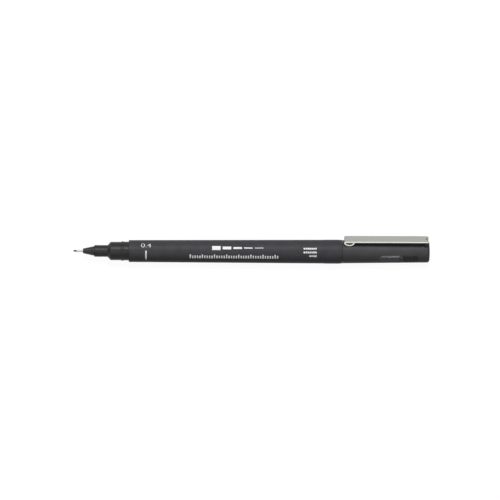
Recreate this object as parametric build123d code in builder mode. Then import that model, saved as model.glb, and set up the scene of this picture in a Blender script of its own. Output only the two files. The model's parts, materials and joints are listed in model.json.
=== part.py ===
"""A fibre-reservoir fineliner pen lying on its barrel, its cap posted and its clip upward, leaning back."""
import os
from math import acos, degrees

from build123d import *

# Lengths in millimetres, angles in degrees. Stations run along the pen from the writing tip.

# Fits shared by every joint in the pen
PRESS_GAP = 0.02
SEAT_GAP = 0.02
SLIDE_GAP = 0.05

# Length of a cut that runs out through the surface
CUT_OUT = 12.0

# Turn of the whole pen about its axis, by which the clip leans back from upright
CLIP_LEAN = 26.0

# Writing tip and its steel sleeve
NIB_DIAMETER = 0.65
NIB_EXPOSED = 1.24
NIB_LENGTH = 17.0
NIB_POINT_ROUND = 0.26
SLEEVE_DIAMETER = 0.95
SLEEVE_EXPOSED = 2.68
SLEEVE_LENGTH = 7.5
SLEEVE_MOUTH_ROUND = 0.08

# Black cone that holds the sleeve, and the stem it is pushed in by
CONE_FRONT_DIAMETER = 2.02
CONE_STEP = 0.78
CONE_LENGTH = 4.66
CONE_EDGE_ROUND = 0.15
STEM_STEP = 0.66
STEM_LENGTH = 5.0

# Front section: nose tube, shoulder, cap seat, snap ring and the spigot inside the barrel
NOSE_STEP = 2.73
NOSE_LENGTH = 5.5
NOSE_EDGE_ROUND = 0.12
SHOULDER_LENGTH = 1.24
SHOULDER_ROUND = 0.3
SEAT_STEP = 0.17
SEAT_LENGTH = 4.25
RING_RISE = 0.32
RING_LENGTH = 1.16
LAND_STEP = 1.33
LAND_LENGTH = 2.09
SPIGOT_LENGTH = 11.0

# Barrel: a tapered tube that ends a little below the collar behind it
BARREL_REAR_STEP = 0.12
BARREL_TAPER = 0.72
BARREL_WALL = 1.085
BARREL_LENGTH = 80.73
BARREL_FRONT_ROUND = 0.12

# Ink feed: wick, fibre reservoir and the film around it
WICK_DIAMETER = 2.2
WICK_IN_RESERVOIR = 10.0
FILM_THICKNESS = 0.2
FILM_PLAY = 0.13

# Tail plug: spigot in the barrel, the collar that is the widest ring, flange, hollow tail for the cap
COLLAR_DIAMETER = 9.91
COLLAR_LENGTH = 6.69
COLLAR_EASE_LENGTH = 1.3
COLLAR_EASE_DROP = 0.1
FLANGE_STEP = 0.2
FLANGE_LENGTH = 0.75
FLANGE_EDGE_ROUND = 0.08
TAIL_LENGTH = 12.3
TAIL_END_ROUND = 0.6
TAIL_END_WALL = 1.6
TAIL_WALL = 1.1
PLUG_SPIGOT_LENGTH = 6.5

# Cap shell
CAP_STANDOFF = 0.08
CAP_LENGTH = 35.33
CAP_MOUTH_STEP = 0.34
CAP_TAPER = 0.83
CAP_SEAT_PLAY = 0.03
CAP_BORE_STEP = 0.8
CAP_MOUTH_ROUND = 0.1
CAP_REAR_ROUND = 0.45
SNAP_GROOVE_GAP = 0.05

# Inner cap that seals over the nose tube
INNER_CAP_DEPTH = 12.8
INNER_CAP_FLANGE_LENGTH = 0.8
INNER_CAP_CLEARANCE = 5.73
INNER_CAP_END_WALL = 1.0

# Crown that closes the cap and traps the clip
CROWN_STEP = 0.74
CROWN_EDGE_LENGTH = 0.18
CROWN_RISE = 0.6
CROWN_SPIGOT_LENGTH = 3.4

# Moulded band on each side of the cap: a raised flat pad with a groove, then a sunk patch with cross ribs
PAD_MIDDLE_FROM_MOUTH = 19.85
PAD_ROOT_LENGTH = 9.9
PAD_ROOT_WIDTH = 4.1
PAD_RISE = 0.22
PAD_CORNER_ROUND = 1.6
PAD_FLANK_ANGLE = 27.0
PAD_GROOVE_FROM_MOUTH = 23.6
PAD_GROOVE_WIDTH = 0.4
PAD_GROOVE_DEPTH = 0.4
PATCH_FROM_MOUTH = 25.1
PATCH_LENGTH = 6.0
PATCH_WIDTH = 3.6
PATCH_DEPTH = 0.36
RIB_COUNT = 3
RIB_PITCH = 1.07
RIB_WIDTH = 0.45
RIB_LENGTH = 2.8
RIB_HEIGHT = 0.25
FIRST_RIB_INSET = 1.2

# Steel clip: flat strip, rolled free end, folded root
CLIP_WIDTH = 3.6
CLIP_THICKNESS = 0.58
CLIP_STANDOFF = 2.575
CLIP_BEND_RADIUS = 0.525
CLIP_SETBACK = 0.55
CLIP_ROLL_RADIUS = 2.0
CLIP_ROLL_GAP = 0.06
CLIP_REST_GAP = 0.1
CLIP_EDGE_ROUND = 0.06
CLIP_TAB_WIDTH = 2.5
CLIP_TAB_DEPTH = 3.1
CLIP_TAB_GAP = 0.1
CLIP_FLEX_ROOM = 0.35
CLIP_SLOT_WIDTH = 0.7
CLIP_SLOT_LENGTH = 1.1

# Pedestal under the root of the clip
PEDESTAL_WIDTH = 3.3
PEDESTAL_WALL = 0.5
PEDESTAL_TOP_ROUND = 0.1

# Stations along the pen
SLEEVE_AT = NIB_EXPOSED
CONE_AT = SLEEVE_AT + SLEEVE_EXPOSED
NOSE_AT = CONE_AT + CONE_LENGTH
STEM_END_AT = NOSE_AT + STEM_LENGTH
SHOULDER_AT = NOSE_AT + NOSE_LENGTH
SEAT_AT = SHOULDER_AT + SHOULDER_LENGTH
RING_AT = SEAT_AT + SEAT_LENGTH
LAND_AT = RING_AT + RING_LENGTH
BARREL_AT = LAND_AT + LAND_LENGTH
SPIGOT_END_AT = BARREL_AT + SPIGOT_LENGTH
COLLAR_AT = BARREL_AT + BARREL_LENGTH
FLANGE_AT = COLLAR_AT + COLLAR_LENGTH
PLUG_AT = COLLAR_AT - PLUG_SPIGOT_LENGTH
TAIL_AT = FLANGE_AT + FLANGE_LENGTH
TAIL_END_AT = TAIL_AT + TAIL_LENGTH
MOUTH_AT = TAIL_AT + CAP_STANDOFF
INNER_CAP_AT = MOUTH_AT + INNER_CAP_DEPTH
INNER_STEP_AT = INNER_CAP_AT + INNER_CAP_FLANGE_LENGTH
CAP_END_AT = MOUTH_AT + CAP_LENGTH
CROWN_SPIGOT_AT = CAP_END_AT - CROWN_SPIGOT_LENGTH
INNER_CAP_END_AT = CROWN_SPIGOT_AT - INNER_CAP_CLEARANCE
CROWN_END_AT = CAP_END_AT + CROWN_RISE
RESERVOIR_AT = SPIGOT_END_AT + SEAT_GAP
RESERVOIR_END_AT = PLUG_AT - SEAT_GAP

# Diameters and radii that follow from the sizes above
BARREL_REAR_DIAMETER = COLLAR_DIAMETER - BARREL_REAR_STEP
BARREL_FRONT_DIAMETER = BARREL_REAR_DIAMETER - BARREL_TAPER
LAND_DIAMETER = BARREL_FRONT_DIAMETER - LAND_STEP
RING_DIAMETER = LAND_DIAMETER + RING_RISE
SEAT_DIAMETER = LAND_DIAMETER - SEAT_STEP
NOSE_DIAMETER = SEAT_DIAMETER - NOSE_STEP
CONE_REAR_DIAMETER = NOSE_DIAMETER - CONE_STEP
STEM_DIAMETER = CONE_REAR_DIAMETER - STEM_STEP
FLANGE_DIAMETER = COLLAR_DIAMETER - FLANGE_STEP
CAP_MOUTH_DIAMETER = COLLAR_DIAMETER - CAP_MOUTH_STEP
CAP_REAR_DIAMETER = CAP_MOUTH_DIAMETER - CAP_TAPER
CROWN_DIAMETER = CAP_REAR_DIAMETER - CROWN_STEP
CLIP_FACE_RADIUS = CAP_MOUTH_DIAMETER / 2 + CLIP_STANDOFF
BORE_RADIUS = BARREL_FRONT_DIAMETER / 2 - BARREL_WALL
RESERVOIR_RADIUS = BORE_RADIUS - FILM_PLAY - FILM_THICKNESS - PRESS_GAP
CAP_BORE_RADIUS = (SEAT_DIAMETER + CAP_SEAT_PLAY) / 2
CAP_REAR_BORE_RADIUS = CAP_BORE_RADIUS - CAP_BORE_STEP / 2
TAIL_RADIUS = CAP_BORE_RADIUS - SLIDE_GAP
SNAP_GROOVE_RADIUS = RING_DIAMETER / 2 + SNAP_GROOVE_GAP
MOUTH_BORE_RADIUS = LAND_DIAMETER / 2 + SLIDE_GAP
INNER_CAP_BORE_RADIUS = NOSE_DIAMETER / 2 + SLIDE_GAP

# The pen lies along X with its middle over the origin and its widest ring on the ground. It is drawn with
# the clip upright and turned as a whole at the end.
AXIS_HEIGHT = COLLAR_DIAMETER / 2
TIP_X = -CROWN_END_AT / 2
AXIS_START = (TIP_X, 0, AXIS_HEIGHT)
PEN_AXIS = Axis(AXIS_START, (1, 0, 0))
PROFILE = Plane(AXIS_START, x_dir=(1, 0, 0), z_dir=(0, -1, 0))
TOP = Plane(AXIS_START, x_dir=(1, 0, 0), z_dir=(0, 0, 1))
SIDES = [Plane(AXIS_START, x_dir=(1, 0, 0), z_dir=(0, side, 0)) for side in (-1, 1)]


def corner(sketch, station, radius):
    """The corner of a profile that lies at this station and radius."""
    return sketch.vertices().sort_by_distance((station, radius))[0]


def cap_radius(station):
    """Outer radius of the tapered cap at a station."""
    slope = (CAP_REAR_DIAMETER - CAP_MOUTH_DIAMETER) / 2 / CAP_LENGTH
    return CAP_MOUTH_DIAMETER / 2 + slope * (station - MOUTH_AT)


# Nib: a fibre rod with a rounded point
with BuildPart() as nib:
    with BuildSketch(PROFILE) as profile:
        with BuildLine():
            Polyline(
                (0, 0),
                (0, NIB_DIAMETER / 2),
                (NIB_LENGTH, NIB_DIAMETER / 2),
                (NIB_LENGTH, 0),
                close=True,
            )
        make_face()
        fillet(corner(profile, 0, NIB_DIAMETER / 2), NIB_POINT_ROUND)
    revolve(axis=PEN_AXIS)

# Nib sleeve: a thin steel tube with a rounded mouth
with BuildPart() as nib_sleeve:
    with BuildSketch(PROFILE) as profile:
        with BuildLine():
            Polyline(
                (SLEEVE_AT, NIB_DIAMETER / 2 + PRESS_GAP),
                (SLEEVE_AT, SLEEVE_DIAMETER / 2),
                (SLEEVE_AT + SLEEVE_LENGTH, SLEEVE_DIAMETER / 2),
                (SLEEVE_AT + SLEEVE_LENGTH, NIB_DIAMETER / 2 + PRESS_GAP),
                close=True,
            )
        make_face()
        fillet(corner(profile, SLEEVE_AT, SLEEVE_DIAMETER / 2), SLEEVE_MOUTH_ROUND)
    revolve(axis=PEN_AXIS)

# Tip cone: tapered front on a stem that is pushed into the nose tube
with BuildPart() as tip_cone:
    with BuildSketch(PROFILE) as profile:
        with BuildLine():
            Polyline(
                (CONE_AT, SLEEVE_DIAMETER / 2 + PRESS_GAP),
                (CONE_AT, CONE_FRONT_DIAMETER / 2),
                (NOSE_AT, CONE_REAR_DIAMETER / 2),
                (NOSE_AT, STEM_DIAMETER / 2),
                (STEM_END_AT, STEM_DIAMETER / 2),
                (STEM_END_AT, NIB_DIAMETER / 2 + PRESS_GAP),
                (SLEEVE_AT + SLEEVE_LENGTH + SEAT_GAP, NIB_DIAMETER / 2 + PRESS_GAP),
                (SLEEVE_AT + SLEEVE_LENGTH + SEAT_GAP, SLEEVE_DIAMETER / 2 + PRESS_GAP),
                close=True,
            )
        make_face()
        fillet(corner(profile, CONE_AT, CONE_FRONT_DIAMETER / 2), CONE_EDGE_ROUND)
        fillet(corner(profile, NOSE_AT, CONE_REAR_DIAMETER / 2), CONE_EDGE_ROUND)
    revolve(axis=PEN_AXIS)

# Front section: carries the cone in front and plugs the barrel behind
with BuildPart() as front_section:
    with BuildSketch(PROFILE) as profile:
        with BuildLine():
            socket_end = STEM_END_AT + SEAT_GAP
            wick_bore = WICK_DIAMETER / 2 + PRESS_GAP
            Polyline(
                (LAND_AT, LAND_DIAMETER / 2),
                (BARREL_AT - SEAT_GAP, LAND_DIAMETER / 2),
                (BARREL_AT - SEAT_GAP, BORE_RADIUS - PRESS_GAP),
                (SPIGOT_END_AT, BORE_RADIUS - PRESS_GAP),
                (SPIGOT_END_AT, wick_bore),
                (socket_end, wick_bore),
                (socket_end, STEM_DIAMETER / 2 + PRESS_GAP),
                (NOSE_AT + SEAT_GAP, STEM_DIAMETER / 2 + PRESS_GAP),
                (NOSE_AT + SEAT_GAP, NOSE_DIAMETER / 2),
                (SHOULDER_AT, NOSE_DIAMETER / 2),
                (SEAT_AT, SEAT_DIAMETER / 2),
                (RING_AT, SEAT_DIAMETER / 2),
            )
            ThreePointArc(
                (RING_AT, SEAT_DIAMETER / 2),
                ((RING_AT + LAND_AT) / 2, RING_DIAMETER / 2),
                (LAND_AT, LAND_DIAMETER / 2),
            )
        make_face()
        fillet(corner(profile, NOSE_AT + SEAT_GAP, NOSE_DIAMETER / 2), NOSE_EDGE_ROUND)
        fillet(corner(profile, SEAT_AT, SEAT_DIAMETER / 2), SHOULDER_ROUND)
    revolve(axis=PEN_AXIS)

# Barrel: tapered tube, closed at the rear by the tail plug
with BuildPart() as barrel:
    with BuildSketch(PROFILE) as profile:
        with BuildLine():
            Polyline(
                (BARREL_AT, BORE_RADIUS),
                (BARREL_AT, BARREL_FRONT_DIAMETER / 2),
                (COLLAR_AT, BARREL_REAR_DIAMETER / 2),
                (COLLAR_AT, BORE_RADIUS),
                close=True,
            )
        make_face()
        fillet(corner(profile, BARREL_AT, BARREL_FRONT_DIAMETER / 2), BARREL_FRONT_ROUND)
    revolve(axis=PEN_AXIS)

# Feed wick: fibre rod from the back of the nib into the reservoir
with BuildPart() as feed_wick:
    with BuildSketch(PROFILE):
        with BuildLine():
            wick_at = STEM_END_AT + 2 * SEAT_GAP
            wick_end = RESERVOIR_AT + WICK_IN_RESERVOIR
            Polyline(
                (wick_at, NIB_DIAMETER / 2 + PRESS_GAP),
                (wick_at, WICK_DIAMETER / 2),
                (wick_end, WICK_DIAMETER / 2),
                (wick_end, 0),
                (NIB_LENGTH + SEAT_GAP, 0),
                (NIB_LENGTH + SEAT_GAP, NIB_DIAMETER / 2 + PRESS_GAP),
                close=True,
            )
        make_face()
    revolve(axis=PEN_AXIS)

# Ink reservoir: a fibre bundle with a hole for the wick
with BuildPart() as ink_reservoir:
    with BuildSketch(PROFILE):
        with BuildLine():
            wick_hole = WICK_DIAMETER / 2 + PRESS_GAP
            hole_end = wick_end + SEAT_GAP
            Polyline(
                (RESERVOIR_AT, wick_hole),
                (RESERVOIR_AT, RESERVOIR_RADIUS),
                (RESERVOIR_END_AT, RESERVOIR_RADIUS),
                (RESERVOIR_END_AT, 0),
                (hole_end, 0),
                (hole_end, wick_hole),
                close=True,
            )
        make_face()
    revolve(axis=PEN_AXIS)

# Reservoir film: the sleeve that keeps the fibres together
with BuildPart() as reservoir_film:
    with BuildSketch(PROFILE):
        with BuildLine():
            film_inside = RESERVOIR_RADIUS + PRESS_GAP
            Polyline(
                (RESERVOIR_AT, film_inside),
                (RESERVOIR_AT, film_inside + FILM_THICKNESS),
                (RESERVOIR_END_AT, film_inside + FILM_THICKNESS),
                (RESERVOIR_END_AT, film_inside),
                close=True,
            )
        make_face()
    revolve(axis=PEN_AXIS)

# Tail plug: closes the barrel, continues it as a collar and carries the posted cap
with BuildPart() as tail_plug:
    with BuildSketch(PROFILE) as profile:
        with BuildLine():
            ease_at = FLANGE_AT - COLLAR_EASE_LENGTH
            ease_end = COLLAR_DIAMETER / 2 - COLLAR_EASE_DROP
            groove_radius = FLANGE_DIAMETER / 2 - FLANGE_EDGE_ROUND
            Polyline(
                (FLANGE_AT + FLANGE_EDGE_ROUND, FLANGE_DIAMETER / 2),
                (TAIL_AT, FLANGE_DIAMETER / 2),
                (TAIL_AT, TAIL_RADIUS),
                (TAIL_END_AT, TAIL_RADIUS),
                (TAIL_END_AT, 0),
                (TAIL_END_AT - TAIL_END_WALL, 0),
                (TAIL_END_AT - TAIL_END_WALL, TAIL_RADIUS - TAIL_WALL),
                (PLUG_AT, TAIL_RADIUS - TAIL_WALL),
                (PLUG_AT, BORE_RADIUS - PRESS_GAP),
                (COLLAR_AT + SEAT_GAP, BORE_RADIUS - PRESS_GAP),
                (COLLAR_AT + SEAT_GAP, COLLAR_DIAMETER / 2),
                (ease_at, COLLAR_DIAMETER / 2),
            )
            TangentArc((ease_at, COLLAR_DIAMETER / 2), (FLANGE_AT, ease_end), tangent=(1, 0))
            Line((FLANGE_AT, ease_end), (FLANGE_AT, groove_radius))
            JernArc((FLANGE_AT, groove_radius), (0, 1), FLANGE_EDGE_ROUND, -90)
        make_face()
        fillet(corner(profile, TAIL_AT, FLANGE_DIAMETER / 2), FLANGE_EDGE_ROUND)
        fillet(corner(profile, TAIL_END_AT, TAIL_RADIUS), TAIL_END_ROUND)
    revolve(axis=PEN_AXIS)

# Heights of the clip above the pen's axis
STRIP_MIDDLE = CLIP_FACE_RADIUS - CLIP_THICKNESS / 2
STRIP_UNDERSIDE = CLIP_FACE_RADIUS - CLIP_THICKNESS
TAB_BOTTOM = STRIP_UNDERSIDE - CLIP_TAB_DEPTH
TAB_REAR_AT = CAP_END_AT - SEAT_GAP
TAB_FRONT_AT = TAB_REAR_AT - CLIP_THICKNESS
SLOT_FRONT_AT = TAB_FRONT_AT - CLIP_FLEX_ROOM
PEDESTAL_AT = SLOT_FRONT_AT - PEDESTAL_WALL

# Cap shell: tapered tube with the side bands and the pedestal that carries the clip
with BuildPart() as cap_shell:
    with BuildSketch(PROFILE) as profile:
        with BuildLine():
            ring_from_barrel = BARREL_AT - LAND_AT
            groove_at = MOUTH_AT + ring_from_barrel - SNAP_GROOVE_GAP
            groove_end = MOUTH_AT + ring_from_barrel + RING_LENGTH + SNAP_GROOVE_GAP
            Polyline(
                (MOUTH_AT, MOUTH_BORE_RADIUS),
                (MOUTH_AT, CAP_MOUTH_DIAMETER / 2),
                (CAP_END_AT, CAP_REAR_DIAMETER / 2),
                (CAP_END_AT, CAP_REAR_BORE_RADIUS),
                (INNER_STEP_AT, CAP_REAR_BORE_RADIUS),
                (INNER_STEP_AT, CAP_BORE_RADIUS),
                (groove_end, CAP_BORE_RADIUS),
                (groove_end, SNAP_GROOVE_RADIUS),
                (groove_at, SNAP_GROOVE_RADIUS),
                (groove_at, MOUTH_BORE_RADIUS),
                close=True,
            )
        make_face()
        fillet(corner(profile, MOUTH_AT, CAP_MOUTH_DIAMETER / 2), CAP_MOUTH_ROUND)
        fillet(corner(profile, CAP_END_AT, CAP_REAR_DIAMETER / 2), CAP_REAR_ROUND)
    revolve(axis=PEN_AXIS)
    # Pedestal, rooted in the middle of the wall
    pedestal_root = (CAP_REAR_BORE_RADIUS + CAP_REAR_DIAMETER / 2) / 2
    pedestal_length = CAP_END_AT - PEDESTAL_AT
    with BuildSketch(TOP.offset(pedestal_root)):
        with Locations((PEDESTAL_AT + pedestal_length / 2, 0)):
            Rectangle(pedestal_length, PEDESTAL_WIDTH)
    extrude(amount=STRIP_UNDERSIDE - SEAT_GAP - pedestal_root)
    fillet(cap_shell.faces().sort_by(Axis.Z)[-1].edges(), PEDESTAL_TOP_ROUND)
    # Pocket for the folded tab of the clip, open at the rear where the crown covers it
    pocket_length = CAP_END_AT - SLOT_FRONT_AT
    with BuildSketch(TOP.offset(TAB_BOTTOM - CLIP_TAB_GAP)):
        with Locations((SLOT_FRONT_AT + pocket_length / 2, 0)):
            Rectangle(pocket_length, CLIP_TAB_WIDTH + 2 * CLIP_TAB_GAP)
    extrude(amount=CUT_OUT, mode=Mode.SUBTRACT)
    # Side bands
    pad_middle = MOUTH_AT + PAD_MIDDLE_FROM_MOUTH
    pad_face = cap_radius(pad_middle) + PAD_RISE
    groove_middle = MOUTH_AT + PAD_GROOVE_FROM_MOUTH
    patch_middle = MOUTH_AT + PATCH_FROM_MOUTH + PATCH_LENGTH / 2
    patch_floor = cap_radius(patch_middle) - PATCH_DEPTH
    first_rib = MOUTH_AT + PATCH_FROM_MOUTH + FIRST_RIB_INSET
    for side in SIDES:
        with BuildSketch(side.offset(CAP_BORE_RADIUS)):
            with Locations((pad_middle, 0)):
                RectangleRounded(PAD_ROOT_LENGTH, PAD_ROOT_WIDTH, PAD_CORNER_ROUND)
        extrude(amount=pad_face - CAP_BORE_RADIUS, taper=PAD_FLANK_ANGLE)
        with BuildSketch(side.offset(pad_face - PAD_GROOVE_DEPTH)):
            with Locations((groove_middle, 0)):
                Rectangle(PAD_GROOVE_WIDTH, PAD_ROOT_WIDTH)
        extrude(amount=CUT_OUT, mode=Mode.SUBTRACT)
        with BuildSketch(side.offset(patch_floor)):
            with Locations((patch_middle, 0)):
                Rectangle(PATCH_LENGTH, PATCH_WIDTH)
        extrude(amount=CUT_OUT, mode=Mode.SUBTRACT)
        with BuildSketch(side.offset(patch_floor)):
            with Locations(*[(first_rib + RIB_PITCH * index, 0) for index in range(RIB_COUNT)]):
                Rectangle(RIB_WIDTH, RIB_LENGTH)
        extrude(amount=RIB_HEIGHT)

# Inner cap: a blind sleeve whose flange seats on the step in the cap
with BuildPart() as inner_cap:
    with BuildSketch(PROFILE):
        with BuildLine():
            flange_radius = CAP_BORE_RADIUS - PRESS_GAP
            sleeve_radius = CAP_REAR_BORE_RADIUS - PRESS_GAP
            blind_at = INNER_CAP_END_AT - INNER_CAP_END_WALL
            Polyline(
                (INNER_CAP_AT, INNER_CAP_BORE_RADIUS),
                (INNER_CAP_AT, flange_radius),
                (INNER_STEP_AT - SEAT_GAP, flange_radius),
                (INNER_STEP_AT - SEAT_GAP, sleeve_radius),
                (INNER_CAP_END_AT, sleeve_radius),
                (INNER_CAP_END_AT, 0),
                (blind_at, 0),
                (blind_at, INNER_CAP_BORE_RADIUS),
                close=True,
            )
        make_face()
    revolve(axis=PEN_AXIS)

# Cap crown: domed head on a spigot in the rear of the cap
with BuildPart() as cap_crown:
    with BuildSketch(PROFILE):
        with BuildLine():
            spigot_radius = CAP_REAR_BORE_RADIUS - PRESS_GAP
            head_at = CAP_END_AT + SEAT_GAP
            dome_at = head_at + CROWN_EDGE_LENGTH
            Polyline(
                (CROWN_END_AT, 0),
                (CROWN_SPIGOT_AT, 0),
                (CROWN_SPIGOT_AT, spigot_radius),
                (head_at, spigot_radius),
                (head_at, CROWN_DIAMETER / 2),
                (dome_at, CROWN_DIAMETER / 2),
            )
            EllipticalCenterArc((dome_at, 0), CROWN_END_AT - dome_at, CROWN_DIAMETER / 2, arc_size=90)
        make_face()
    revolve(axis=PEN_AXIS)

# Clip: one steel strip, folded into the cap at the root and rolled under at the free end
front_bend_at = MOUTH_AT + CLIP_SETBACK + CLIP_BEND_RADIUS + CLIP_THICKNESS / 2
rear_bend_at = (TAB_FRONT_AT + TAB_REAR_AT) / 2
roll_bottom = cap_radius(front_bend_at) + CLIP_REST_GAP + CLIP_THICKNESS / 2
roll_centre = roll_bottom + CLIP_ROLL_RADIUS
bend_turn = degrees(
    acos((STRIP_MIDDLE - CLIP_BEND_RADIUS - roll_centre) / (CLIP_ROLL_RADIUS - CLIP_BEND_RADIUS))
)
roll_rise = degrees(
    acos((roll_centre - STRIP_UNDERSIDE + CLIP_ROLL_GAP) / (CLIP_ROLL_RADIUS - CLIP_THICKNESS / 2))
)
with BuildPart() as clip:
    with BuildSketch(PROFILE):
        with BuildLine():
            tab = Line(
                (rear_bend_at, TAB_BOTTOM),
                (rear_bend_at, STRIP_MIDDLE - CLIP_BEND_RADIUS),
            )
            fold = JernArc(tab @ 1, tab % 1, CLIP_BEND_RADIUS, 90)
            run = Line(fold @ 1, (front_bend_at, STRIP_MIDDLE))
            front = JernArc(run @ 1, run % 1, CLIP_BEND_RADIUS, bend_turn)
            JernArc(front @ 1, front % 1, CLIP_ROLL_RADIUS, 180 - bend_turn + roll_rise)
        trace(line_width=CLIP_THICKNESS)
    extrude(amount=CLIP_WIDTH / 2, both=True)
    for outer in (0, -1):
        fillet(clip.faces().sort_by(Axis.Y)[outer].edges(), CLIP_EDGE_ROUND)
    # Below the strip the tab is narrower than the clip
    side_cut = (CLIP_WIDTH - CLIP_TAB_WIDTH) / 2
    for start, amount in ((CLIP_TAB_WIDTH / 2, side_cut), (-CLIP_TAB_WIDTH / 2, -side_cut)):
        with BuildSketch(PROFILE.offset(start)):
            with Locations((rear_bend_at, STRIP_UNDERSIDE - CLIP_TAB_DEPTH / 2)):
                Rectangle(2 * CLIP_THICKNESS, CLIP_TAB_DEPTH)
        extrude(amount=amount, mode=Mode.SUBTRACT)
    # Slot that splits the fold into two legs
    with BuildSketch(TOP.offset(STRIP_UNDERSIDE - CLIP_BEND_RADIUS)):
        with Locations((TAB_REAR_AT - CLIP_SLOT_LENGTH / 2, 0)):
            Rectangle(CLIP_SLOT_LENGTH, CLIP_SLOT_WIDTH)
    extrude(amount=CUT_OUT, mode=Mode.SUBTRACT)

pieces = {
    "nib": nib,
    "nib_sleeve": nib_sleeve,
    "tip_cone": tip_cone,
    "front_section": front_section,
    "barrel": barrel,
    "feed_wick": feed_wick,
    "ink_reservoir": ink_reservoir,
    "reservoir_film": reservoir_film,
    "tail_plug": tail_plug,
    "cap_shell": cap_shell,
    "inner_cap": inner_cap,
    "cap_crown": cap_crown,
    "clip": clip,
}
os.makedirs("parts", exist_ok=True)
for name, piece in pieces.items():
    placed = piece.part.rotate(PEN_AXIS, -CLIP_LEAN)
    placed.label = name
    export_step(placed, f"parts/{name}.step")
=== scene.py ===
import json
import math

import bmesh
import bpy
from mathutils import Matrix, Vector


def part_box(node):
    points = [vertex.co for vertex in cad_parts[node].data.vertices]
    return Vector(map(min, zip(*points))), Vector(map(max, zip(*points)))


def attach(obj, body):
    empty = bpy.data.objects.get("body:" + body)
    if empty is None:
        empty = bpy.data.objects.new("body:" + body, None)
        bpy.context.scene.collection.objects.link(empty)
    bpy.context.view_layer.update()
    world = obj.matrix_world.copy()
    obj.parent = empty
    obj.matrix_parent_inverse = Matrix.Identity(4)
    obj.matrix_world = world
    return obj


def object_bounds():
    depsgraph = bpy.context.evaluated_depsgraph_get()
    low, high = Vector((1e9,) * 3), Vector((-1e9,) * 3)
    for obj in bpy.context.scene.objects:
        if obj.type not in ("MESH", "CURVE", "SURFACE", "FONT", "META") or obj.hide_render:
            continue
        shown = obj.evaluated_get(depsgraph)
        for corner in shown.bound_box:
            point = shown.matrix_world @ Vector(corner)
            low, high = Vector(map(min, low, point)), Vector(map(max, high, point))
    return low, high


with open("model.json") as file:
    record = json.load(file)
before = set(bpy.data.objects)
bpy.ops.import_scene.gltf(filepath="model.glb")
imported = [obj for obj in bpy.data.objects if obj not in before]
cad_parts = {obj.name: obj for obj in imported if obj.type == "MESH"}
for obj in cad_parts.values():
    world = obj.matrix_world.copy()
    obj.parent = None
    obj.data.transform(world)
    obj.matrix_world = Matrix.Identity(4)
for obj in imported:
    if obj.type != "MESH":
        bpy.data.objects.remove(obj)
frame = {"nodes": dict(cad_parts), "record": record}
cad_low, cad_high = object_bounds()
nodes = frame["nodes"]

MM = 0.001

# Frame of the pen: it lies on the widest ring of its tail plug, with its axis along X from the tip
AXIS_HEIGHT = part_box("tail_plug")[1].z / 2
TIP_X = cad_low.x

# Turn of the pen about its axis, by which the clip leans back from upright, and the way across the clip
CLIP_LEAN = 26.0
ACROSS = (0, math.cos(math.radians(CLIP_LEAN)), -math.sin(math.radians(CLIP_LEAN)))

# Tapered barrel that carries the prints
BARREL_FRONT_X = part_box("barrel")[0].x
BARREL_FRONT_RADIUS = 4.535 * MM
BARREL_REAR_RADIUS = 4.895 * MM
BARREL_LENGTH = 80.73 * MM

# Tapered cap
CAP_MOUTH_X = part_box("cap_shell")[0].x
CAP_MOUTH_RADIUS = 4.785 * MM
CAP_SLOPE = 0.01175

# Raised pads on the sides of the cap, smoother, with a painted highlight: the pads painted lighter and their
# slopes lighter still
PAD_PROUD = 0.02 * MM
PAD_FADE = 0.03 * MM
PAD_PAINTED_HIGHLIGHT = (0.092, 0.091, 0.100)
PAD_ROUGHNESS = 0.20
PAD_EDGE_FACING = (0.95, 0.7)
PAD_EDGE_PAINTED_HIGHLIGHT = (0.200, 0.197, 0.216)

# Painted shade in the hollows of the cap: between the ribs behind the pads, and in the bore
HOLLOW_START = 0.12 * MM
HOLLOW_FULL = 0.30 * MM
HOLLOWS_END = 33.0 * MM
HOLLOWS_FADE = 0.1 * MM
HOLLOW_PAINTED_SHADE = (0.028, 0.028, 0.031)

# Cut edges of the clip, smoother than its faces and painted brighter as a painted highlight
CUT_EDGE_FACING = (0.45, 0.9)
CUT_EDGE_PAINTED_HIGHLIGHT = (0.86, 0.86, 0.84)
CUT_EDGE_ROUGHNESS = 0.30

# Camera of the photograph: from high in front, through a long lens
VIEW_ELEVATION = 44.0 + CLIP_LEAN
VIEW_ROLL = 0.18
VIEW_DEPTH = 20.0
LENS = 600.0
SENSOR = 36.0
PHOTO_WIDTH = 206.3 * MM
PHOTO_SHIFT_RIGHT = 0.68 * MM
PHOTO_SHIFT_DOWN = 0.58 * MM

# Patterns of the finishes: the range that most of the noise lies in, its scales in cycles a metre, and depths
NOISE_RANGE = (0.3, 0.7)
MOTTLE_SCALE = 260.0
GLOSS_SCALE = 90.0
GRAIN_DEPTH = 0.02 * MM
DRAWN_STRETCH = (0.02, 1, 1)
DRAWN_DEPTH = 0.01 * MM
FIBRE_STRETCH = (0.05, 1, 1)
FIBRE_SPECULAR = 0.02
FIBRE_DEPTH = 0.03 * MM
RIPPLE_SCALE = 700.0
RIPPLE_DEPTH = 0.02 * MM
INK_COVER_SCALE = 5200.0
INK_COVER_DEPTH = 0.01 * MM


# Material helpers
def new_material(name):
    """A material, its node tree and its shader."""
    material = bpy.data.materials.new(name)
    material.use_nodes = True
    tree = material.node_tree
    return material, tree, tree.nodes["Principled BSDF"]


def coordinates(tree, stretch=(1, 1, 1)):
    """Coordinates in metres that stay with the piece, stretched along its axes."""
    source = tree.nodes.new("ShaderNodeTexCoord")
    mapping = tree.nodes.new("ShaderNodeMapping")
    mapping.inputs["Scale"].default_value = stretch
    tree.links.new(source.outputs["Object"], mapping.inputs["Vector"])
    return mapping.outputs["Vector"]


def noise(tree, vector, scale, detail=3.0):
    """A noise pattern, its scale in cycles a metre."""
    node = tree.nodes.new("ShaderNodeTexNoise")
    node.inputs["Scale"].default_value = scale
    node.inputs["Detail"].default_value = detail
    tree.links.new(vector, node.inputs["Vector"])
    return node.outputs["Fac"]


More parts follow.
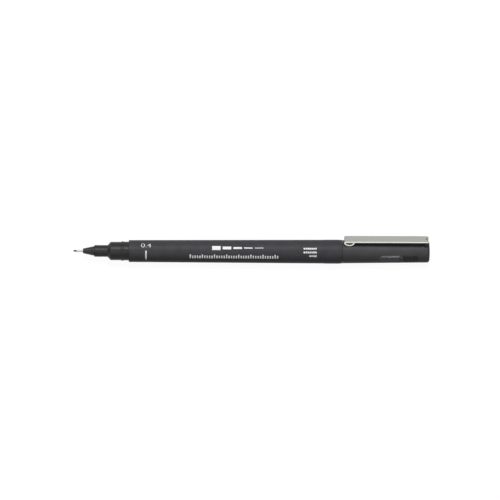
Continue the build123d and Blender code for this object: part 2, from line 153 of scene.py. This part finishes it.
def ramp(tree, value, start, end, low=0.0, high=1.0):
    """Goes from low to high as a value goes from start to end."""
    node = tree.nodes.new("ShaderNodeMapRange")
    node.inputs["From Min"].default_value = start
    node.inputs["From Max"].default_value = end
    node.inputs["To Min"].default_value = low
    node.inputs["To Max"].default_value = high
    tree.links.new(value, node.inputs["Value"])
    return node.outputs["Result"]


def spread(tree, pattern, socket, low, high):
    """Drives a socket with a pattern mapped onto a range of values."""
    tree.links.new(ramp(tree, pattern, *NOISE_RANGE, low, high), socket)


def shades(tree, pattern, socket, dark, light):
    """Drives a colour socket with a pattern mapped onto two shades."""
    node = tree.nodes.new("ShaderNodeValToRGB")
    for stop, position, shade in zip(node.color_ramp.elements, NOISE_RANGE, (dark, light)):
        stop.position = position
        stop.color = (*shade, 1)
    tree.links.new(pattern, node.inputs["Fac"])
    tree.links.new(node.outputs["Color"], socket)


def relief(tree, shader, pattern, strength, depth):
    """Fine relief from a pattern."""
    node = tree.nodes.new("ShaderNodeBump")
    node.inputs["Strength"].default_value = strength
    node.inputs["Distance"].default_value = depth
    tree.links.new(pattern, node.inputs["Height"])
    tree.links.new(node.outputs["Normal"], shader.inputs["Normal"])


def calculate(tree, operation, first, second=0.0):
    """The result of an operation on a value and a number or a second value."""
    node = tree.nodes.new("ShaderNodeMath")
    node.operation = operation
    tree.links.new(first, node.inputs[0])
    if isinstance(second, float):
        node.inputs[1].default_value = second
    else:
        tree.links.new(second, node.inputs[1])
    return node.outputs[0]


def reach_sideways(tree, vector, middle=0.0):
    """How far a vector reaches across the clip, on either side of a middle."""
    node = tree.nodes.new("ShaderNodeVectorMath")
    node.operation = "DOT_PRODUCT"
    node.inputs[1].default_value = ACROSS
    tree.links.new(vector, node.inputs[0])
    return calculate(tree, "ABSOLUTE", calculate(tree, "SUBTRACT", node.outputs["Value"], middle))


def reach_outwards(tree, place):
    """How far a place is from the axis of the pen."""
    flat = tree.nodes.new("ShaderNodeVectorMath")
    flat.operation = "MULTIPLY_ADD"
    flat.inputs[1].default_value = (0, 1, 1)
    flat.inputs[2].default_value = (0, 0, -AXIS_HEIGHT)
    tree.links.new(place, flat.inputs[0])
    length = tree.nodes.new("ShaderNodeVectorMath")
    length.operation = "LENGTH"
    tree.links.new(flat.outputs["Vector"], length.inputs[0])
    return length.outputs["Value"]


def tint(tree, share, socket, shade):
    """Blends a linked colour towards a shade."""
    node = tree.nodes.new("ShaderNodeMix")
    node.data_type = "RGBA"
    node.inputs["B"].default_value = (*shade, 1)
    tree.links.new(share, node.inputs["Factor"])
    tree.links.new(socket.links[0].from_socket, node.inputs["A"])
    tree.links.new(node.outputs["Result"], socket)


def smooth(tree, share, socket, roughness):
    """Blends a linked roughness towards a lower one."""
    node = tree.nodes.new("ShaderNodeMix")
    node.inputs["B"].default_value = roughness
    tree.links.new(share, node.inputs["Factor"])
    tree.links.new(socket.links[0].from_socket, node.inputs["A"])
    tree.links.new(node.outputs["Result"], socket)


# Finishes
def moulded_plastic(name, dark, light, rough, specular, grain, strength):
    """Moulded plastic: mottled colour, uneven gloss and a fine grain."""
    material, tree, shader = new_material(name)
    place = coordinates(tree)
    shades(tree, noise(tree, place, MOTTLE_SCALE, detail=4.0), shader.inputs["Base Color"], dark, light)
    spread(tree, noise(tree, place, GLOSS_SCALE), shader.inputs["Roughness"], *rough)
    shader.inputs["Specular IOR Level"].default_value = specular
    relief(tree, shader, noise(tree, place, grain, detail=2.0), strength, GRAIN_DEPTH)
    return material


def drawn_metal(name, dark, light, rough, lines, strength):
    """Metal with fine drawing lines along the pen."""
    material, tree, shader = new_material(name)
    streaks = noise(tree, coordinates(tree, DRAWN_STRETCH), lines, detail=4.0)
    shades(tree, streaks, shader.inputs["Base Color"], dark, light)
    spread(tree, streaks, shader.inputs["Roughness"], *rough)
    shader.inputs["Metallic"].default_value = 1.0
    relief(tree, shader, streaks, strength, DRAWN_DEPTH)
    return material


def packed_fibre(name, dark, light, rough, lines, strength):
    """Packed fibres that run along the pen."""
    material, tree, shader = new_material(name)
    strands = noise(tree, coordinates(tree, FIBRE_STRETCH), lines, detail=5.0)
    shades(tree, strands, shader.inputs["Base Color"], dark, light)
    spread(tree, strands, shader.inputs["Roughness"], *rough)
    shader.inputs["Specular IOR Level"].default_value = FIBRE_SPECULAR
    relief(tree, shader, strands, strength, FIBRE_DEPTH)
    return material


def clear_film(name):
    """Thin clear film with slight ripples."""
    material, tree, shader = new_material(name)
    ripple = noise(tree, coordinates(tree), RIPPLE_SCALE)
    shades(tree, ripple, shader.inputs["Base Color"], dark=(0.76, 0.78, 0.81), light=(0.84, 0.86, 0.88))
    shader.inputs["Transmission Weight"].default_value = 0.85
    shader.inputs["IOR"].default_value = 1.45
    spread(tree, ripple, shader.inputs["Roughness"], low=0.12, high=0.25)
    relief(tree, shader, ripple, strength=0.1, depth=RIPPLE_DEPTH)
    return material


def printed_ink(name):
    """White ink, slightly uneven where it lies on the grain."""
    material, tree, shader = new_material(name)
    cover = noise(tree, coordinates(tree), INK_COVER_SCALE, detail=4.0)
    shades(tree, cover, shader.inputs["Base Color"], dark=(0.84, 0.84, 0.85), light=(0.92, 0.92, 0.92))
    spread(tree, cover, shader.inputs["Roughness"], low=0.45, high=0.6)
    shader.inputs["Specular IOR Level"].default_value = 0.2
    relief(tree, shader, cover, strength=0.08, depth=INK_COVER_DEPTH)
    return material


def paint_edge_highlight(material):
    """Paints a highlight on the cut edges of a metal strip, the faces that look sideways, and smooths them.
    """
    tree = material.node_tree
    shader = tree.nodes["Principled BSDF"]
    source = tree.nodes.new("ShaderNodeTexCoord")
    share = ramp(tree, reach_sideways(tree, source.outputs["Normal"]), *CUT_EDGE_FACING)
    # Painted highlight: the sideways faces are lightened
    tint(tree, share, shader.inputs["Base Color"], CUT_EDGE_PAINTED_HIGHLIGHT)
    smooth(tree, share, shader.inputs["Roughness"], CUT_EDGE_ROUGHNESS)


def paint_cap_light_and_shade(material):
    """Paints the pads of the cap lighter and their slopes lighter still as painted highlights, smooths the
    pads, and paints shade into the hollows.
    """
    tree = material.node_tree
    shader = tree.nodes["Principled BSDF"]
    colour = shader.inputs["Base Color"]
    source = tree.nodes.new("ShaderNodeTexCoord")
    place = source.outputs["Object"]
    parts = tree.nodes.new("ShaderNodeSeparateXYZ")
    tree.links.new(place, parts.inputs["Vector"])
    behind_mouth = calculate(tree, "SUBTRACT", parts.outputs["X"], CAP_MOUTH_X)
    taper = calculate(tree, "MULTIPLY", behind_mouth, CAP_SLOPE)

    # Painted shade: hollows sunk below the cap's surface, in front of the end of the ribs, are darkened
    outwards = calculate(tree, "ADD", reach_outwards(tree, place), taper)
    sunk = ramp(tree, outwards, CAP_MOUTH_RADIUS - HOLLOW_START, CAP_MOUTH_RADIUS - HOLLOW_FULL)
    before_end = ramp(tree, behind_mouth, HOLLOWS_END, HOLLOWS_END - HOLLOWS_FADE)
    tint(tree, calculate(tree, "MULTIPLY", sunk, before_end), colour, HOLLOW_PAINTED_SHADE)

    # Painted highlight: the pads are lightened, and their slopes lightened further
    axis_reach = ACROSS[2] * AXIS_HEIGHT
    sideways = calculate(tree, "ADD", reach_sideways(tree, place, axis_reach), taper)
    pad_start = CAP_MOUTH_RADIUS + PAD_PROUD
    pads = ramp(tree, sideways, pad_start, pad_start + PAD_FADE)
    slopes = ramp(tree, reach_sideways(tree, source.outputs["Normal"]), *PAD_EDGE_FACING)
    tint(tree, pads, colour, PAD_PAINTED_HIGHLIGHT)
    tint(tree, calculate(tree, "MULTIPLY", pads, slopes), colour, PAD_EDGE_PAINTED_HIGHLIGHT)
    smooth(tree, pads, shader.inputs["Roughness"], PAD_ROUGHNESS)


finishes = {
    "charcoal": moulded_plastic(
        "charcoal",
        dark=(0.0480, 0.0475, 0.0528),
        light=(0.0597, 0.0588, 0.0654),
        rough=(0.42, 0.48),
        specular=0.08,
        grain=9000.0,
        strength=0.12,
    ),
    "cap_charcoal": moulded_plastic(
        "cap_charcoal",
        dark=(0.0518, 0.0518, 0.0562),
        light=(0.0638, 0.0638, 0.0690),
        rough=(0.46, 0.52),
        specular=0.12,
        grain=9000.0,
        strength=0.08,
    ),
    "satin_black": moulded_plastic(
        "satin_black",
        dark=(0.0258, 0.0258, 0.0279),
        light=(0.0328, 0.0328, 0.0350),
        rough=(0.36, 0.42),
        specular=0.16,
        grain=11000.0,
        strength=0.05,
    ),
    "gloss_black": moulded_plastic(
        "gloss_black",
        dark=(0.0180, 0.0180, 0.0195),
        light=(0.0240, 0.0240, 0.0255),
        rough=(0.18, 0.24),
        specular=0.40,
        grain=12000.0,
        strength=0.03,
    ),
    "inner_seal": moulded_plastic(
        "inner_seal",
        dark=(0.050, 0.050, 0.054),
        light=(0.062, 0.062, 0.067),
        rough=(0.42, 0.55),
        specular=0.2,
        grain=7000.0,
        strength=0.06,
    ),
    "nib_fibre": packed_fibre(
        "nib_fibre",
        dark=(0.004, 0.004, 0.005),
        light=(0.012, 0.012, 0.014),
        rough=(0.6, 0.8),
        lines=22000.0,
        strength=0.3,
    ),
    "inked_fibre": packed_fibre(
        "inked_fibre",
        dark=(0.008, 0.008, 0.011),
        light=(0.034, 0.034, 0.040),
        rough=(0.65, 0.85),
        lines=14000.0,
        strength=0.4,
    ),
    "bright_steel": drawn_metal(
        "bright_steel",
        dark=(0.42, 0.42, 0.42),
        light=(0.54, 0.54, 0.54),
        rough=(0.55, 0.65),
        lines=16000.0,
        strength=0.03,
    ),
    "satin_steel": drawn_metal(
        "satin_steel",
        dark=(0.395, 0.395, 0.374),
        light=(0.470, 0.470, 0.445),
        rough=(0.66, 0.74),
        lines=14000.0,
        strength=0.05,
    ),
    "clear_film": clear_film("clear_film"),
}
paint_edge_highlight(finishes["satin_steel"])
paint_cap_light_and_shade(finishes["cap_charcoal"])
for row in frame["record"]["subparts"]:
    for holder in nodes[row["node"]].material_slots:
        holder.link = "OBJECT"
        holder.material = finishes[row["material_slot"]]
ink = printed_ink("white_ink")

# Prints: flat drawings in millimetres, wrapped round the barrel as thin raised ink
INK_SUNK = 0.02 * MM
INK_RAISED = 0.012 * MM
STRIP_HEIGHT = 0.2
MERGE_DISTANCE = 1e-5
CUT_TOLERANCE = 1e-4
FIGURE_STEPS = 8
FIGURE_THINNING = -0.008


def barrel_radius(x):
    """Radius of the tapered barrel at a place along X."""
    along = (x - BARREL_FRONT_X) / BARREL_LENGTH
    return BARREL_FRONT_RADIUS + (BARREL_REAR_RADIUS - BARREL_FRONT_RADIUS) * along


def bar(drawing, left, bottom, right, top):
    """A filled rectangle in a flat drawing."""
    corners = [(left, bottom, 0), (right, bottom, 0), (right, top, 0), (left, top, 0)]
    drawing.faces.new([drawing.verts.new(corner) for corner in corners])


def figures(drawing, text, width, height):
    """Plain figures in a flat drawing, centred on its origin."""
    curve = bpy.data.curves.new("figures", "FONT")
    curve.body = text
    curve.resolution_u = FIGURE_STEPS
    curve.offset = FIGURE_THINNING
    holder = bpy.data.objects.new("figures", curve)
    outline = bpy.data.meshes.new_from_object(holder)
    points = [vertex.co for vertex in outline.vertices]
    low = Vector((min(p.x for p in points), min(p.y for p in points), 0))
    high = Vector((max(p.x for p in points), max(p.y for p in points), 0))
    size = Matrix.Diagonal((width / (high.x - low.x), height / (high.y - low.y), 1, 1))
    outline.transform(size @ Matrix.Translation((low + high) / -2))
    drawing.from_mesh(outline)
    bpy.data.objects.remove(holder)
    bpy.data.curves.remove(curve)
    bpy.data.meshes.remove(outline)


def cut_into_strips(drawing):
    """Cuts a flat drawing into strips along the pen, so that it can follow the round barrel."""
    heights = [vertex.co.y for vertex in drawing.verts]
    for step in range(math.ceil(min(heights) / STRIP_HEIGHT), math.floor(max(heights) / STRIP_HEIGHT) + 1):
        everything = drawing.verts[:] + drawing.edges[:] + drawing.faces[:]
        cut = (0, step * STRIP_HEIGHT, 0)
        bmesh.ops.bisect_plane(
            drawing, geom=everything, dist=CUT_TOLERANCE, plane_co=cut, plane_no=(0, 1, 0)
        )


def wrap(name, drawing, station, angle):
    """Wraps a flat drawing round the barrel, at a station and an angle up from the photographed middle."""
    bmesh.ops.remove_doubles(drawing, verts=drawing.verts, dist=MERGE_DISTANCE)
    cut_into_strips(drawing)
    over = bmesh.ops.extrude_face_region(drawing, geom=drawing.faces[:])["geom"]
    lifted = {item for item in over if isinstance(item, bmesh.types.BMVert)}
    for vertex in drawing.verts:
        x = TIP_X + (station + vertex.co.x) * MM
        radius = barrel_radius(x)
        turn = math.radians(VIEW_ELEVATION + angle) + vertex.co.y * MM / radius
        reach = radius + (INK_RAISED if vertex in lifted else -INK_SUNK)
        vertex.co = (x, -reach * math.cos(turn), AXIS_HEIGHT + reach * math.sin(turn))
    bmesh.ops.recalc_face_normals(drawing, faces=drawing.faces)
    mesh = bpy.data.meshes.new(name)
    drawing.to_mesh(mesh)
    drawing.free()
    mesh.materials.append(ink)
    piece = bpy.data.objects.new(name, mesh)
    bpy.context.collection.objects.link(piece)
    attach(piece, "pen")


# Line width with a bar below it, three times round the front of the barrel
FRONT_PRINT_TURNS = (0, 147, -113)
WIDTH_TEXT = "0.4"
WIDTH_SIZE = (4.1, 1.95)
WIDTH_STATION = 30.0
WIDTH_ANGLE = 31
MARK_HALF_WIDTH = 0.29
MARK_BOTTOM = -2.05
MARK_TOP = 2.0
MARK_STATION = 29.97
MARK_ANGLE = -23
for index, turn in enumerate(FRONT_PRINT_TURNS):
    drawing = bmesh.new()
    figures(drawing, WIDTH_TEXT, *WIDTH_SIZE)
    wrap(f"print_width_{index}", drawing, WIDTH_STATION, turn + WIDTH_ANGLE)
    drawing = bmesh.new()
    bar(drawing, -MARK_HALF_WIDTH, MARK_BOTTOM, MARK_HALF_WIDTH, MARK_TOP)
    wrap(f"print_mark_{index}", drawing, MARK_STATION, turn + MARK_ANGLE)

# Row of pen strokes of falling weight
STROKES_STATION = 57.2
STROKES_ANGLE = 17
STROKE_LENGTH = 3.5
STROKE_PITCH = 4.4
STROKE_WEIGHTS = (1.75, 1.2, 0.8, 0.45, 0.25)
drawing = bmesh.new()
for index, weight in enumerate(STROKE_WEIGHTS):
    left = STROKE_PITCH * index
    bar(drawing, left, -weight / 2, left + STROKE_LENGTH, weight / 2)
wrap("print_strokes", drawing, STROKES_STATION, STROKES_ANGLE)

# Fine scale below the strokes, with a tick each millimetre
SCALE_STATION = 48.2
SCALE_ANGLE = -38
SCALE_LENGTH = 36
TICK_HALF_WIDTH = 0.26
TICK_RISE = 1.3
LONG_TICK_RISE = 1.75
LONG_TICK_EVERY = 5
drawing = bmesh.new()
for index in range(SCALE_LENGTH + 1):
    rise = LONG_TICK_RISE if index % LONG_TICK_EVERY == 0 else TICK_RISE
    bar(drawing, index - TICK_HALF_WIDTH, 0, index + TICK_HALF_WIDTH, rise)
wrap("print_scale", drawing, SCALE_STATION, SCALE_ANGLE)

# Three short rows of dashes near the rear, flush at their right ends
DASHES_STATION = 100.3
DASHES_ANGLE = 14
DASH_LENGTH = 0.60
DASH_PITCH = 0.8
DASH_HALF_HEIGHT = 0.37
DASH_ROWS = (7, 7, 4)
DASH_ROW_PITCH = 1.55
drawing = bmesh.new()
for row, count in enumerate(DASH_ROWS):
    middle = -DASH_ROW_PITCH * row
    for index in range(count):
        right = -DASH_PITCH * index
        bar(drawing, right - DASH_LENGTH, middle - DASH_HALF_HEIGHT, right, middle + DASH_HALF_HEIGHT)
wrap("print_dashes", drawing, DASHES_STATION, DASHES_ANGLE)

# Floor: white to the camera and in reflections, with the shadow of the pen
FLOOR_HALF = 3.0
FLOOR_SHADE = (0.09, 0.09, 0.09)
FLOOR_GLOW = 0.95
WHITE = (1, 1, 1, 1)


def seen_or_mirrored(tree):
    """One for rays from the camera, in reflections and through glass, otherwise nought."""
    rays = tree.nodes.new("ShaderNodeLightPath").outputs
    either = calculate(tree, "MAXIMUM", rays["Is Camera Ray"], rays["Is Glossy Ray"])
    return calculate(tree, "MAXIMUM", either, rays["Is Transmission Ray"])


def white_floor(name):
    """A matt surface that glows white where it is seen, and gives little light to the pen."""
    material, tree, shader = new_material(name)
    shader.inputs["Base Color"].default_value = (*FLOOR_SHADE, 1)
    shader.inputs["Roughness"].default_value = 0.9
    shader.inputs["Specular IOR Level"].default_value = 0.0
    shader.inputs["Emission Color"].default_value = WHITE
    glow = calculate(tree, "MULTIPLY", seen_or_mirrored(tree), FLOOR_GLOW)
    tree.links.new(glow, shader.inputs["Emission Strength"])
    return material


corners = [(-1, -1), (1, -1), (1, 1), (-1, 1)]
floor_mesh = bpy.data.meshes.new("floor")
floor_mesh.from_pydata([(FLOOR_HALF * x, FLOOR_HALF * y, 0) for x, y in corners], [], [(0, 1, 2, 3)])
floor_mesh.materials.append(white_floor("floor"))
floor = bpy.data.objects.new("floor", floor_mesh)
bpy.context.collection.objects.link(floor)

# World: a dim room that looks bright to the camera and in reflections
ROOM_DIFFUSE = 0.04
ROOM_SEEN = 0.6
world = bpy.data.worlds.new("studio")
bpy.context.scene.world = world
world.use_nodes = True
tree = world.node_tree
sky = tree.nodes["Background"]
sky.inputs["Color"].default_value = WHITE
strength = ramp(tree, seen_or_mirrored(tree), 0.0, 1.0, ROOM_DIFFUSE, ROOM_SEEN)
tree.links.new(strength, sky.inputs["Strength"])


# Lamps, with places and sizes in metres
def softbox(name, place, size, watts):
    """A soft rectangular lamp that points at the pen."""
    light = bpy.data.lights.new(name, "AREA")
    light.shape = "RECTANGLE"
    light.size, light.size_y = size
    light.energy = watts
    lamp = bpy.data.objects.new(name, light)
    lamp.location = place
    lamp.rotation_mode = "QUATERNION"
    lamp.rotation_quaternion = (-Vector(place)).to_track_quat("-Z", "Y")
    bpy.context.collection.objects.link(lamp)


softbox("overhead", place=(0, 0.19, 0.67), size=(0.45, 0.2), watts=3.8)
softbox("front", place=(0, -0.43, 0.68), size=(0.9, 0.3), watts=1.45)
softbox("tip", place=(-0.30, 0.34, 0.64), size=(0.14, 0.14), watts=0.64)

# Camera
elevation = math.radians(VIEW_ELEVATION)
back = Vector((0, -math.cos(elevation), math.sin(elevation)))
up = Vector((0, math.sin(elevation), math.cos(elevation)))
pen_middle = Vector(((cad_low.x + cad_high.x) / 2, 0, AXIS_HEIGHT))
aim = pen_middle - Vector((PHOTO_SHIFT_RIGHT, 0, 0)) + up * PHOTO_SHIFT_DOWN
lens = bpy.data.cameras.new("camera")
lens.lens = LENS
lens.sensor_width = SENSOR
lens.clip_end = VIEW_DEPTH
camera = bpy.data.objects.new("camera", lens)
bpy.context.collection.objects.link(camera)
camera.location = aim + back * (PHOTO_WIDTH * LENS / SENSOR)
level = (-back).to_track_quat("-Z", "Y").to_matrix().to_4x4()
camera.rotation_mode = "QUATERNION"
camera.rotation_quaternion = (level @ Matrix.Rotation(math.radians(VIEW_ROLL), 4, "Z")).to_quaternion()
bpy.context.scene.camera = camera
bpy.context.scene.view_settings.view_transform = "Standard"
